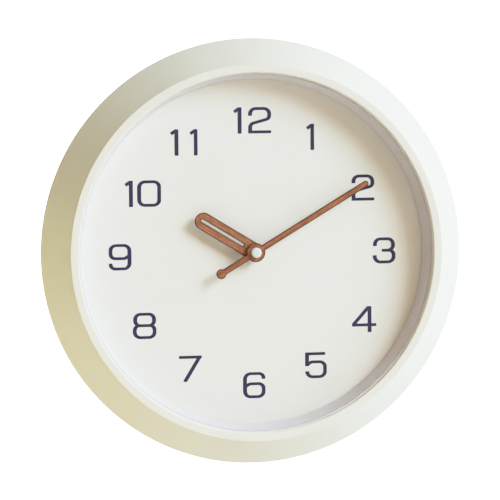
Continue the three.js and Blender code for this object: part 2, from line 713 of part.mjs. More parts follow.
function addPiece(group, name, solid, finish) {
  const { vertProperties, triVerts } = solid.getMesh();
  const geometry = new THREE.BufferGeometry();
  geometry.setAttribute('position', new THREE.BufferAttribute(vertProperties, 3));
  geometry.setIndex(new THREE.BufferAttribute(triVerts, 1));
  geometry.computeVertexNormals();
  const [color, roughness, metalness] = FINISH[finish];
  const material = new THREE.MeshStandardMaterial({ color, roughness, metalness });
  const mesh = new THREE.Mesh(geometry, material);
  mesh.name = name;
  group.add(mesh);
}

// ---- Assembly ----

const group = new THREE.Group();
group.position.set(0, -WALL_DEPTH, -HANG_HEIGHT);

addPiece(group, 'bezel', makeBezel(), 'cream');
addPiece(group, 'lens', makeLens(), 'clear');
addPiece(group, 'spacer_ring', makeSpacerRing(), 'white');
addPiece(group, 'dial', makeDial(), 'paper');
addPiece(group, 'back_case', makeBackCase(), 'cream');
screwPlaces.forEach((place, i) => addPiece(group, `case_screw_${i + 1}`, makeScrew(place), 'steel'));

addPiece(group, 'gasket', ring(GASKET.inner, GASKET.outer, GASKET.front, GASKET.back, 32), 'rubber');
addPiece(group, 'washer', ring(WASHER.inner, WASHER.outer, WASHER.front, WASHER.back, 28), 'brass');
addPiece(group, 'shaft_nut', makeShaftNut(), 'brass');

const hourGroup = new THREE.Group();
hourGroup.rotation.y = radians(HOUR_ANGLE);
addPiece(hourGroup, 'hour_hand', makeHourHand(), 'wood');
const minuteGroup = new THREE.Group();
minuteGroup.rotation.y = radians(MINUTE_ANGLE);
addPiece(minuteGroup, 'minute_hand', makeMinuteHand(), 'wood');
addPiece(minuteGroup, 'hand_cap', makeHandCap(), 'cap');
group.add(hourGroup, minuteGroup);

addPiece(group, 'movement_case', makeMovementCase(), 'black');
addPiece(group, 'movement_cover', makeMovementCover(), 'black');
addPiece(group, 'train_bridge', makeTrainBridge(), 'gearWhite');
addPiece(group, 'hour_wheel', makeHourWheel(), 'gearBlue');
addPiece(group, 'minute_arbor', makeMinuteArbor(), 'brass');
addPiece(group, 'clutch_spring', makeClutchSpring(), 'steel');
addPiece(group, 'minute_work_wheel', makeMinuteWorkWheel(), 'gearWhite');
addPiece(group, 'setting_shaft', makeSettingShaft(), 'gearWhite');
addPiece(group, 'setting_knob', makeSettingKnob(), 'gearWhite');
addPiece(group, 'centre_wheel', makeCentreWheel(), 'gearBlue');
addPiece(group, 'third_wheel', makeTrainWheel(thirdWheel), 'gearWhite');
addPiece(group, 'second_wheel', makeTrainWheel(secondWheel), 'gearBlue');
addPiece(group, 'intermediate_wheel', makeTrainWheel(intermediateWheel), 'gearWhite');
addPiece(group, 'rotor_shaft', makeRotorShaft(), 'gearWhite');
addPiece(group, 'rotor_magnet', makeRotorMagnet(), 'magnet');
addPiece(group, 'stator', makeStator(), 'steel');
addPiece(group, 'coil_core', makeCoilCore(), 'steel');
addPiece(group, 'coil_bobbin', makeCoilBobbin(), 'black');
addPiece(group, 'coil_winding', makeCoilWinding(), 'copper');
addPiece(group, 'circuit_board', makeCircuitBoard(), 'board');
addPiece(group, 'timing_chip', makeTimingChip(), 'black');
addPiece(group, 'quartz_crystal', makeQuartzCrystal(), 'steel');
addPiece(group, 'positive_contact', makePositiveContact(), 'steel');
addPiece(group, 'negative_contact', makeNegativeContact(), 'steel');
addPiece(group, 'battery', makeBattery(), 'cell');

export default group;
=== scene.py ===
import math

import bmesh
import bpy
from mathutils import Matrix, Vector
from mathutils.geometry import tessellate_polygon


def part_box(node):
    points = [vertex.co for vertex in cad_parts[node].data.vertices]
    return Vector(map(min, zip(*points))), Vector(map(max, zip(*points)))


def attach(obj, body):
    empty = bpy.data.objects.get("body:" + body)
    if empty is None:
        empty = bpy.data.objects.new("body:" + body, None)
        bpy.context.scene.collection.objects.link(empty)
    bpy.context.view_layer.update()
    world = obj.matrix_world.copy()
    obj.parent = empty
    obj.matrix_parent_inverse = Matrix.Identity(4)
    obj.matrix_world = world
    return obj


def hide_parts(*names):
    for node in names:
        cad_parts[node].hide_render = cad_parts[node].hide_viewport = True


# A round wall clock: the fine surfaces, materials, light and camera around its CAD frame.
#
# Pieces are drawn in millimetres on the dial's axis: x to the viewer's right, z up, and a
# depth that is 0 at the dial's printed face, negative toward the viewer and positive toward
# the wall. DIAL_FRAME puts them in the row frame, in metres.

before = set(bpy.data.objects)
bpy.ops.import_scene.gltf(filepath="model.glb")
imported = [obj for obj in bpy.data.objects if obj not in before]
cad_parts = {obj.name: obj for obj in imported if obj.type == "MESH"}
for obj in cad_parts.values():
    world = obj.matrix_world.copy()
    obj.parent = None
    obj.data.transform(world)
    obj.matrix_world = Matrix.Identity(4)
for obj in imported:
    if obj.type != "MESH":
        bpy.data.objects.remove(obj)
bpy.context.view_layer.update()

# ---- Places that come from the frame ----

MM = 0.001
DIAL_LOW, DIAL_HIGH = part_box("dial")
AXIS_X = (DIAL_LOW.x + DIAL_HIGH.x) / 2
AXIS_Z = (DIAL_LOW.z + DIAL_HIGH.z) / 2
DIAL_CENTRE = Vector((AXIS_X, DIAL_LOW.y, AXIS_Z))
DIAL_FRAME = Matrix.Translation(DIAL_CENTRE) @ Matrix.Scale(MM, 4)


def depths(node):
    """The front and back depth of a CAD node, in millimetres from the dial's face."""
    low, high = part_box(node)
    return (low.y - DIAL_CENTRE.y) / MM, (high.y - DIAL_CENTRE.y) / MM


def half_width(node):
    low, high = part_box(node)
    return (high.x - low.x) / 2 / MM


def place(node):
    """Where the middle of a CAD node lies across the dial, in millimetres."""
    low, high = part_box(node)
    middle = (low + high) / 2 - DIAL_CENTRE
    return middle.x / MM, middle.z / MM


def edges(node):
    """The left, right, low and high edges of a CAD node across the dial, in millimetres."""
    low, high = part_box(node)
    left, right = (low.x - AXIS_X) / MM, (high.x - AXIS_X) / MM
    return left, right, (low.z - AXIS_Z) / MM, (high.z - AXIS_Z) / MM


# ---- Driving dimensions, in millimetres ----

OUTER_RADIUS = half_width("bezel")
WIDEST_DEPTH, WIDEST_HALF = 4.2, 0.6  # the middle and half the width of the rim's flat band
LIP_OUTER = (131.7, -18.4)  # radius and depth
LIP_INNER = (126.2, -18.2)
DIAL_OPENING = 121
DIAL_HOLE, DIAL_THICKNESS = 4, 1
SHELL = 2.5
SHELL_ACROSS = 1.35 * SHELL  # the sloping shell's thickness along a radius
STOP_DEPTH = 2.4  # where the shell steps outward for the tray's tongue
FIT = 0.4  # clearance around the dial, the tongue and the screw heads
SEAM = 0.3  # the line between the bezel and the tray
RIM_RADIUS = half_width("dial")
SEAT_RADIUS = RIM_RADIUS + FIT
SLEEVE_RADIUS, SLEEVE_BACK = SEAT_RADIUS + 2.2, 1.6
BOSS_RADIUS, BOSS_BORE, BOSS_FRONT, BOSS_BACK = 3.7, 1.5, -5.7, 5
LENS_FRONT, LENS_BACK = depths("lens")
LENS_GAP_FRONT, LENS_GAP_BACK = 0.06, 0.05
LENS_CLEAR_RADIUS = LIP_INNER[0] - 1.6
SPACER_BACK = depths("spacer_ring")[1]
SPACER_WALL = 1.6
BACK_FRONT = 6.9
PLATE_FRONT, PLATE_BACK = 19, 21.2
WALL_DEPTH = depths("back_case")[1]
BACK_RADIUS_FRONT, BACK_RADIUS_REAR = 148.3, 143.6
TONGUE_INNER, TONGUE_FRONT = 142.9, 3.9
DIAL_RING = (123.6, 125.6, 1.4)  # inner radius, outer radius and front of the ring under the dial
BEADS = (122, 64)
SCREW_HEAD, SCREW_CORE = 2.8, 1.2
SCREW_SEAT, SCREW_LENGTH = 8, 10
POST_RADIUS, POST_BORE, POST_FRONT = 4.3, 1.7, 5.3
NAIL_HEIGHT = -AXIS_Z / MM
KEY_SLOT, KEY_ENTRY, KEY_DROP = 2.2, 5, 12
MOVEMENT_HALF = half_width("movement_case")

MINUTE_ANGLE, HOUR_ANGLE = 59.3, 301.5
MINUTE_REACH, MINUTE_WIDTH, MINUTE_HUB = 94, 4.2, 6.75
MINUTE_TAIL, MINUTE_WEIGHT = 28.6, 3.5
HOUR_REACH, HOUR_WIDTH = 49, 12.4
HOUR_SLOT, HOUR_SLOT_FROM, HOUR_SLOT_TO = 1.9, 9.4, 44.8
ARBOR_BORE, PIPE_BORE = 1.3, 2.75
HAND_EDGE = 0.22

DIGIT_HEIGHT = 18.4
STEM_HALF, BAR_HALF = 1.4, 1.02  # half the pen's width across upright and level strokes
INK_FRONT, INK_BACK = -0.06, 0.04

ROUND = 256  # segments around the case


# ---- Outlines ----

def arc(x, z, radius, start, end, steps=24):
    """Points along an arc, from one angle in degrees to another, both ends included."""
    turn = (math.radians(start + (end - start) * i / steps) for i in range(steps + 1))
    return [(x + radius * math.cos(a), z + radius * math.sin(a)) for a in turn]


def circle(x, z, radius, steps=48):
    return arc(x, z, radius, 0, 360, steps)[:-1]


def rounded(corners, closed=True, steps=6):
    """An outline whose (x, z, radius) corners become arcs. One without a radius stays sharp."""
    points = []
    for i, corner in enumerate(corners):
        here = Vector(corner[:2])
        at_end = not closed and i in (0, len(corners) - 1)
        if len(corner) == 2 or at_end:
            points.append(tuple(here))
            continue
        before = (Vector(corners[i - 1][:2]) - here).normalized()
        after = (Vector(corners[(i + 1) % len(corners)][:2]) - here).normalized()
        half = before.angle(after) / 2
        centre = here + (before + after).normalized() * corner[2] / math.sin(half)
        start = here + before * corner[2] / math.tan(half) - centre
        end = here + after * corner[2] / math.tan(half) - centre
        sweep = math.atan2(start.x * end.y - start.y * end.x, start.dot(end))
        for step in range(steps + 1):
            spoke = start.copy()
            spoke.rotate(Matrix.Rotation(sweep * step / steps, 2))
            points.append(tuple(centre + spoke))
    return points


def rounded_box(x0, x1, z0, z1, corner):
    return rounded([(x, z, corner) for x, z in ((x0, z0), (x1, z0), (x1, z1), (x0, z1))])


def rounded_square(half, corner):
    return rounded_box(-half, half, -half, half, corner)


def stadium(half, low, high, steps=24):
    """A vertical slot with round ends about the heights low and high."""
    return arc(0, high, half, 0, 180, steps) + arc(0, low, half, 180, 360, steps)


def inset(loop, amount):
    """The loop moved inward, to the left of its own direction."""
    moved = []
    for i, point in enumerate(loop):
        here = Vector(point)
        ahead = (Vector(loop[(i + 1) % len(loop)]) - here).normalized()
        behind = (here - Vector(loop[i - 1])).normalized()
        normal = Vector((-(ahead.y + behind.y), ahead.x + behind.x)).normalized()
        stretch = max(0.5, normal.dot(Vector((-ahead.y, ahead.x))))
        moved.append(tuple(here + normal * amount / stretch))
    return moved


# ---- Solids ----

def bridge(bm, first, second):
    """Faces between two rings of vertices. A ring of one vertex is a point on the axis."""
    count = max(len(first), len(second))
    for i in range(count):
        j = (i + 1) % count
        near = [first[i % len(first)], first[j % len(first)]]
        far = [second[j % len(second)], second[i % len(second)]]
        face = list(dict.fromkeys(near + far))
        if len(face) > 2:
            bm.faces.new(face)


def turned(profile, segments=ROUND):
    """Turns a closed profile of (radius, depth) points around the axis."""
    bm = bmesh.new()
    rings = []
    for radius, depth in profile:
        if radius < 1e-6:
            rings.append([bm.verts.new((0, depth, 0))])
        else:
            rings.append([bm.verts.new((x, depth, z)) for x, z in circle(0, 0, radius, segments)])
    for i, ring in enumerate(rings):
        after = rings[(i + 1) % len(rings)]
        if len(ring) > 1 or len(after) > 1:
            bridge(bm, ring, after)
    bmesh.ops.recalc_face_normals(bm, faces=bm.faces)
    return bm


def slab(loops, front, back, edge=0):
    """Extrudes an outline with holes, its two faces rounded over by edge. The outline runs
    anticlockwise and the holes clockwise, so inset() always moves into the material."""
    levels = [(0, front), (0, back)]
    if edge:
        steps = 3
        bends = [math.pi / 2 * i / steps for i in range(steps + 1)]
        over = [(edge * (1 - math.sin(a)), edge * (1 - math.cos(a))) for a in bends]
        levels = [(inward, front + deep) for inward, deep in over]
        levels += [(inward, back - deep) for inward, deep in reversed(over)]
    bm = bmesh.new()
    rows = []
    for inward, depth in levels:
        shifted = [inset(loop, inward) if inward else loop for loop in loops]
        rows.append([[bm.verts.new((x, depth, z)) for x, z in loop] for loop in shifted])
    for first, second in zip(rows, rows[1:]):
        for here, there in zip(first, second):
            bridge(bm, here, there)
    for row in (rows[0], rows[-1]):
        flat = [[vertex.co.xzy for vertex in loop] for loop in row]
        vertices = [vertex for loop in row for vertex in loop]
        for triangle in tessellate_polygon(flat):
            bm.faces.new([vertices[i] for i in triangle])
    bmesh.ops.recalc_face_normals(bm, faces=bm.faces)
    return bm


def hole(points):
    """A loop as a hole in a slab."""
    return list(reversed(points))


def moved(bm, matrix):
    bmesh.ops.transform(bm, matrix=matrix, verts=bm.verts)
    return bm


def disc(radius, front, back, x=0, z=0, steps=32):
    return slab([circle(x, z, radius, steps)], front, back)


def block(x0, x1, front, back, z0, z1):
    return slab([[(x0, z0), (x1, z0), (x1, z1), (x0, z1)]], front, back)


def loose_object(bm, name):
    mesh = bpy.data.meshes.new(name)
    bm.to_mesh(mesh)
    bm.free()
    thing = bpy.data.objects.new(name, mesh)
    bpy.context.scene.collection.objects.link(thing)
    return thing


def combined(operation, base, *tools):
    """The base with the tools joined to it (UNION), cut from it (DIFFERENCE) or clipping it
    (INTERSECT)."""
    things = [loose_object(bm, "scratch") for bm in (base, *tools)]
    for tool in things[1:]:
        modifier = things[0].modifiers.new("combine", "BOOLEAN")
        modifier.operation = operation
        modifier.solver = "MANIFOLD"
        modifier.object = tool
    bpy.context.view_layer.update()
    whole = bmesh.new()
    whole.from_object(things[0], bpy.context.evaluated_depsgraph_get())
    for thing in things:
        bpy.data.meshes.remove(thing.data)
    return whole


# ---- Materials ----

def linear(red, green, blue):
    """A colour given as 0 to 255 on screen, as the shader's linear colour."""
    screen = (red, green, blue)
    return (*(((c / 255 + 0.055) / 1.055) ** 2.4 if c > 10 else c / 3294.6 for c in screen), 1)


class Shader:
    """A material whose nodes are added one call at a time."""

    def __init__(self, name):
        self.material = bpy.data.materials.new(name)
        self.material.use_nodes = True
        self.tree = self.material.node_tree
        self.surface = self.tree.nodes["Principled BSDF"]
        self.coordinates = self.node("TexCoord").outputs["Object"]

    def node(self, kind, settings=None, **inputs):
        made = self.tree.nodes.new("ShaderNode" + kind)
        for key, value in (settings or {}).items():
            setattr(made, key, value)
        for key, value in inputs.items():
            self.feed(made, key, value)
        return made

    def feed(self, node, key, value):
        """Sets or links an input, given as its name with _ for a space, or as i0, i1 and so on."""
        numbered = key[0] == "i" and key[1:].isdigit()
        socket = node.inputs[int(key[1:]) if numbered else key.replace("_", " ")]
        if isinstance(value, bpy.types.NodeSocket):
            self.tree.links.new(value, socket)
        else:
            socket.default_value = value

    def math(self, operation, first, second=0.0):
        return self.node("Math", {"operation": operation}, i0=first, i1=second).outputs[0]

    def noise(self, size_mm, detail=2.0, stretch=(1, 1, 1), roughness=0.5):
        """Noise from 0 to 1 with blobs about size_mm across, longer along a smaller stretch."""
        scale = tuple(s / (size_mm * MM) for s in stretch)
        mapped = self.node("Mapping", Vector=self.coordinates, Scale=scale).outputs[0]
        made = self.node("TexNoise", Vector=mapped, Scale=1.0, Detail=detail, Roughness=roughness)
        return made.outputs[0]

    def spread(self, value, low, high, to_low=0.0, to_high=1.0, smooth=False):
        kind = {"interpolation_type": "SMOOTHSTEP" if smooth else "LINEAR"}
        ends = {"From_Min": low, "From_Max": high, "To_Min": to_low, "To_Max": to_high}
        return self.node("MapRange", kind, Value=value, **ends).outputs[0]

    def mix(self, share, first, second):
        """One colour turning into another as the share goes from 0 to 1."""
        made = self.node("Mix", {"data_type": "RGBA"}, i0=share, i6=first, i7=second)
        return made.outputs[2]

    def stain(self, base, where, strength, colour):
        """The base with a colour laid over it at a strength, wherever where is 1."""
        return self.mix(self.math("MULTIPLY", where, strength), base, colour)

    def millimetres(self):
        """The object's own coordinates, as outputs X, Y and Z in millimetres."""
        scaled = self.node("VectorMath", {"operation": "SCALE"}, i0=self.coordinates, Scale=1 / MM)
        return self.node("SeparateXYZ", Vector=scaled.outputs[0]).outputs

    def bump(self, height, depth_mm, onto=None):
        made = self.node("Bump", Strength=1.0, Distance=depth_mm * MM, Height=height)
        if onto:
            self.feed(made, "Normal", onto)
        return made.outputs[0]

    def finish(self, **inputs):
        for key, value in inputs.items():
            self.feed(self.surface, key, value)
        return self.material


def shaded(colour, amount):
    """The same linear colour, lighter or darker by a share."""
    return (*(min(1, c * (1 + amount)) for c in colour[:3]), 1)


def moulded_plastic(name, colour, roughness=0.45, grain=0.35, depth=0.012, clouds=40):
    """Moulded plastic: fine spark texture, faint flow clouds and uneven gloss."""
    s = Shader(name)
    cloud = s.spread(s.noise(clouds, 3), 0.3, 0.7)
    speck = s.spread(s.noise(0.8, 2), 0.35, 0.75)
    base = s.mix(cloud, shaded(colour, -0.03), shaded(colour, 0.02))
    base = s.stain(base, speck, 0.12, shaded(colour, -0.16))
    gloss = s.spread(s.noise(6, 3), 0.3, 0.7, roughness - 0.05, roughness + 0.07)
    normal = s.bump(s.noise(grain, 3), depth)
    normal = s.bump(s.noise(clouds * 0.6, 1), 0.05, normal)
    return s.finish(Base_Color=base, Roughness=gloss, Normal=normal)


def printed_sheet(name, colour):
    """Matt painted sheet: a fine even tooth with faint roller marks."""
    s = Shader(name)
    tooth = s.noise(0.25, 2)
    rolled = s.noise(9, 2, (0.2, 1, 1))
    base = s.mix(s.spread(rolled, 0.3, 0.7), shaded(colour, -0.012), shaded(colour, 0.01))
    base = s.stain(base, s.spread(tooth, 0.4, 0.8), 0.1, shaded(colour, -0.12))
    gloss = s.spread(s.noise(3, 2), 0.3, 0.7, 0.55, 0.66)
    return s.finish(Base_Color=base, Roughness=gloss, Normal=s.bump(tooth, 0.006))


def printing_ink(name, colour):
    """Screen print: solid, with tiny pinholes and a slightly uneven film."""
    s = Shader(name)
    film = s.noise(1.6, 3)
    base = s.mix(s.spread(film, 0.3, 0.7), shaded(colour, -0.12), shaded(colour, 0.18))
    gloss = s.spread(s.noise(0.7, 2), 0.3, 0.7, 0.42, 0.55)
    return s.finish(Base_Color=base, Roughness=gloss, Normal=s.bump(film, 0.004))


def clear_sheet(name, edge_colour, clear_radius):
    """Clear polished lens: almost all light goes straight through, out to its frosted edge."""
    s = Shader(name)
    parts = s.millimetres()
    away = stadium_distance(s, parts["X"], parts["Z"], clear_radius, AXIS_Z / MM, AXIS_Z / MM)
    edge = s.spread(away, -0.1, 0.1)
    base = s.mix(edge, (0.2, 0.22, 0.22, 1), edge_colour)
    polish = s.spread(s.noise(30, 2), 0.3, 0.7, 0.02, 0.035)
    haze = s.math("MAXIMUM", polish, s.math("MULTIPLY", edge, 0.6))
    alpha = s.math("MAXIMUM", edge, 0.02)
    return s.finish(Base_Color=base, Roughness=haze, Alpha=alpha, IOR=1.49)


def brushed_metal(name, colour, roughness, stretch=(0.06, 1, 1)):
    """Bare metal with fine brush lines, which run along the smaller stretch."""
    s = Shader(name)
    lines = s.noise(0.25, 3, stretch)
    base = s.mix(s.spread(lines, 0.3, 0.7), shaded(colour, -0.14), shaded(colour, 0.08))
    gloss = s.spread(s.noise(1.2, 3), 0.3, 0.7, roughness - 0.06, roughness + 0.1)
    return s.finish(Base_Color=base, Roughness=gloss, Metallic=1.0, Normal=s.bump(lines, 0.006))


def wound_wire(name, colour):
    """Enamelled wire wound around X, one turn every 0.2 mm. Its colour carries painted shade, darker in
    the grooves between turns and a little lighter on each crest.
    """
    s = Shader(name)
    along = s.node("SeparateXYZ", Vector=s.coordinates).outputs["X"]
    turn = s.math("SINE", s.math("MULTIPLY", along, 2 * math.pi / (0.2 * MM)))
    # painted shade: the copper is darkened into the grooves between turns and lightened on the crests
    base = s.mix(s.spread(turn, -1, 1), shaded(colour, -0.45), shaded(colour, 0.1))
    return s.finish(Base_Color=base, Roughness=0.35, Metallic=0.6, Normal=s.bump(turn, 0.05))


def cell_jacket(name, dark, bright, metal, bright_from, metal_from):
    """A dry cell along X, in metres: a dark sleeve, then a bright band, then bare steel ends."""
    s = Shader(name)
    along = s.node("SeparateXYZ", Vector=s.coordinates).outputs["X"]
    scuff = s.noise(3, 3, (0.3, 1, 1))
    base = s.mix(s.spread(scuff, 0.3, 0.7), shaded(dark, -0.15), shaded(dark, 0.1))
    band = s.math("GREATER_THAN", along, bright_from)
    label = s.mix(s.spread(scuff, 0.3, 0.7), shaded(bright, -0.12), shaded(bright, 0.06))
    base = s.mix(band, base, label)
    ends = s.math("GREATER_THAN", s.math("ABSOLUTE", along), metal_from)
    base = s.mix(ends, base, metal)
    gloss = s.spread(s.noise(1.5, 3), 0.3, 0.7, 0.24, 0.36)
    shine = s.math("MAXIMUM", s.math("MULTIPLY", band, 0.8), ends)
    return s.finish(Base_Color=base, Roughness=gloss, Metallic=shine, Normal=s.bump(scuff, 0.006))


def rubber(name, colour):
    """Dull rubber with a little dust on it."""
    s = Shader(name)
    dust = s.spread(s.noise(2.5, 3), 0.5, 0.8, 0, 0.3)
    base = s.mix(dust, colour, shaded(colour, 1.2))
    return s.finish(Base_Color=base, Roughness=0.85, Normal=s.bump(s.noise(0.3, 2), 0.02))


def stadium_distance(s, x, z, half, low, high):
    """Distance out from a vertical slot's outline, negative inside it, in millimetres."""
    middle, length = (low + high) / 2, (high - low) / 2
    beyond = s.math("SUBTRACT", s.math("ABSOLUTE", s.math("SUBTRACT", z, middle)), length)
    gap = s.node("CombineXYZ", X=x, Y=s.math("MAXIMUM", beyond, 0.0)).outputs[0]
    far = s.node("VectorMath", {"operation": "LENGTH"}, i0=gap).outputs["Value"]
    return s.math("SUBTRACT", far, half)


def hand_wood(name, light, dark, edge_colour, outline):
    """Thin veneer with its grain along the hand, and edges browned by the cutting laser.
    outline(shader, x, z) gives the distance out from the hand's outline."""
    s = Shader(name)
    parts = s.millimetres()
    figure = s.noise(1.5, 3, (1, 1, 0.13), 0.6)
    fleck = s.noise(1.1, 2, (1, 1, 0.45), 0.65)
    fibre = s.noise(0.32, 3, (1, 1, 0.05), 0.65)
    pores = s.spread(s.noise(0.3, 2, (1, 1, 0.12)), 0.64, 0.72)
    base = s.mix(s.spread(figure, 0.35, 0.65, smooth=True), light, dark)
    base = s.stain(base, s.spread(fleck, 0.48, 0.66), 0.6, shaded(dark, -0.4))
    base = s.stain(base, s.spread(fibre, 0.35, 0.7), 0.4, shaded(dark, -0.35))
    base = s.stain(base, pores, 0.5, shaded(dark, -0.6))
    wobble = s.spread(s.noise(0.9, 3), 0.25, 0.75, -0.15, 0.15)
    away = s.math("ADD", outline(s, parts["X"], parts["Z"]), wobble)
    burnt = s.spread(away, -1.05, -0.4, smooth=True)
    base = s.stain(base, burnt, 0.9, edge_colour)
    gloss = s.spread(fibre, 0.3, 0.7, 0.5, 0.62)
    return s.finish(Base_Color=base, Roughness=gloss, Normal=s.bump(fibre, 0.02))


def minute_outline(s, x, z):
    half = MINUTE_WIDTH / 2
    blade = stadium_distance(s, x, z, half, -MINUTE_TAIL, MINUTE_REACH - half)
    hub = stadium_distance(s, x, z, MINUTE_HUB, 0, 0)
    weight = stadium_distance(s, x, z, MINUTE_WEIGHT, -MINUTE_TAIL, -MINUTE_TAIL)
    return s.math("MINIMUM", blade, s.math("MINIMUM", hub, weight))


def hour_outline(s, x, z):
    half, slot = HOUR_WIDTH / 2, HOUR_SLOT / 2
    blade = stadium_distance(s, x, z, half, 0, HOUR_REACH - half)
    opening = stadium_distance(s, x, z, slot, HOUR_SLOT_FROM + slot, HOUR_SLOT_TO - slot)
    return s.math("MAXIMUM", blade, s.math("MULTIPLY", opening, -1.0))


CREAM = linear(240, 241, 232)
FINISHES = {
    "bezel_cream": moulded_plastic("bezel_cream", CREAM, 0.42, 0.3, 0.006, 45),
    "case_cream": moulded_plastic("case_cream", CREAM, 0.55, 0.5, 0.03, 30),
    "spacer_white": moulded_plastic("spacer_white", linear(224, 219, 225), 0.5, 0.3, 0.006, 50),
    "lens_clear": clear_sheet("lens_clear", linear(228, 223, 228), LENS_CLEAR_RADIUS),
    "dial_paint": printed_sheet("dial_paint", linear(247, 248, 244)),
    "numeral_ink": printing_ink("numeral_ink", linear(44, 39, 80)),
    "cap_enamel": moulded_plastic("cap_enamel", linear(228, 240, 248), 0.35, 0.4, 0.004, 8),
    "minute_wood": hand_wood(
        "minute_wood", linear(198, 126, 84), linear(154, 90, 56), linear(70, 32, 18),
        minute_outline,
    ),
    "hour_wood": hand_wood(
        "hour_wood", linear(204, 138, 100), linear(164, 102, 70), linear(74, 36, 20),
        hour_outline,
    ),
    "steel": brushed_metal("steel", linear(190, 192, 196), 0.32),
    "spring_steel": brushed_metal("spring_steel", linear(176, 178, 182), 0.28),
    "core_steel": brushed_metal("core_steel", linear(160, 162, 168), 0.4),
    "nickel": brushed_metal("nickel", linear(205, 203, 196), 0.25, (1, 1, 0.1)),
    "brass": brushed_metal("brass", linear(205, 170, 96), 0.28, (1, 0.1, 1)),
    "ferrite": moulded_plastic("ferrite", linear(52, 52, 56), 0.6, 0.2, 0.02, 2),
    "copper_wire": wound_wire("copper_wire", linear(190, 110, 62)),
    "rubber": rubber("rubber", linear(38, 38, 38)),
    "movement_black": moulded_plastic("movement_black", linear(34, 34, 37), 0.5, 0.45, 0.03, 12),
    "acetal_white": moulded_plastic("acetal_white", linear(232, 230, 222), 0.42, 0.3, 0.006, 5),
    "acetal_blue": moulded_plastic("acetal_blue", linear(160, 182, 198), 0.42, 0.3, 0.006, 5),
    "board_green": moulded_plastic("board_green", linear(46, 106, 62), 0.5, 0.5, 0.01, 4),
    "resin_black": moulded_plastic("resin_black", linear(20, 20, 22), 0.25, 0.6, 0.01, 2),
    "cell_jacket": cell_jacket(
        "cell_jacket", linear(42, 46, 54), linear(206, 150, 88), linear(196, 196, 192),
        bright_from=10 * MM, metal_from=24.6 * MM,
    ),
}

# The finish of each CAD node that stays in view. The rest are replaced below.
NODE_FINISH = {
    "gasket": "rubber",
    "washer": "brass",
    "shaft_nut": "brass",
    "movement_case": "movement_black",
    "train_bridge": "acetal_white",
    "hour_wheel": "acetal_blue",
    "minute_arbor": "brass",
    "clutch_spring": "spring_steel",
    "minute_work_wheel": "acetal_white",
    "setting_shaft": "acetal_white",
    "centre_wheel": "acetal_blue",
    "third_wheel": "acetal_white",
    "second_wheel": "acetal_blue",
    "intermediate_wheel": "acetal_white",
    "rotor_shaft": "acetal_white",
    "rotor_magnet": "ferrite",
    "stator": "core_steel",
    "coil_core": "core_steel",
    "coil_bobbin": "movement_black",
    "coil_winding": "copper_wire",
    "circuit_board": "board_green",
    "timing_chip": "resin_black",
    "quartz_crystal": "nickel",
    "positive_contact": "nickel",
    "negative_contact": "nickel",
}


# ---- Making pieces ----

SHARP_ANGLE = 32
WELD_DISTANCE = 0.002
CASE_BEVEL, SMALL_BEVEL = 0.35, 0.12


def smooth(thing):
    """Smooth shading that keeps flat faces flat and real corners sharp."""
    thing.data.shade_smooth()
    thing.data.set_sharp_from_angle(angle=math.radians(SHARP_ANGLE))
    weighted = thing.modifiers.new("weighted_normals", "WEIGHTED_NORMAL")
    weighted.keep_sharp = True


def piece(name, bm, finish, replaced=(), body="case", turn=0):
    """A piece drawn on the dial's axis, turned clockwise by an angle and riding on a body."""
    bmesh.ops.recalc_face_normals(bm, faces=bm.faces)
    thing = loose_object(bm, name)
    if turn:
        about_axis = Matrix.Rotation(math.radians(turn), 4, "Y")
        thing.data.transform(Matrix.Scale(MM, 4))
        thing.matrix_world = Matrix.Translation(DIAL_CENTRE) @ about_axis
    else:
        thing.data.transform(DIAL_FRAME)
    thing.data.materials.append(FINISHES[finish])
    smooth(thing)
    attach(thing, body)
    if replaced:
        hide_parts(*replaced)


def dress_cad_nodes():
    """Gives the CAD nodes that stay in view a finish and small rounded edges."""
    for name, finish in NODE_FINISH.items():
        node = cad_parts[name]
        node.data.materials.clear()
        node.data.materials.append(FINISHES[finish])
        weld = node.modifiers.new("weld", "WELD")
        weld.merge_threshold = WELD_DISTANCE * MM
        bevel = node.modifiers.new("moulded_edges", "BEVEL")
        bevel.width = (CASE_BEVEL if name == "movement_case" else SMALL_BEVEL) * MM
        bevel.segments = 2
        bevel.limit_method = "ANGLE"
        bevel.angle_limit = math.radians(50)
        bevel.harden_normals = True


# ---- Case ----

def cone_radius(depth):
    """The radius of the bezel's sloping face at a depth."""
    slope = (OUTER_RADIUS - LIP_OUTER[0]) / (WIDEST_DEPTH - WIDEST_HALF - LIP_OUTER[1])
    return LIP_OUTER[0] + slope * (depth - LIP_OUTER[1])


SCREW_PLACES = [place(f"case_screw_{i + 1}") for i in range(4)]


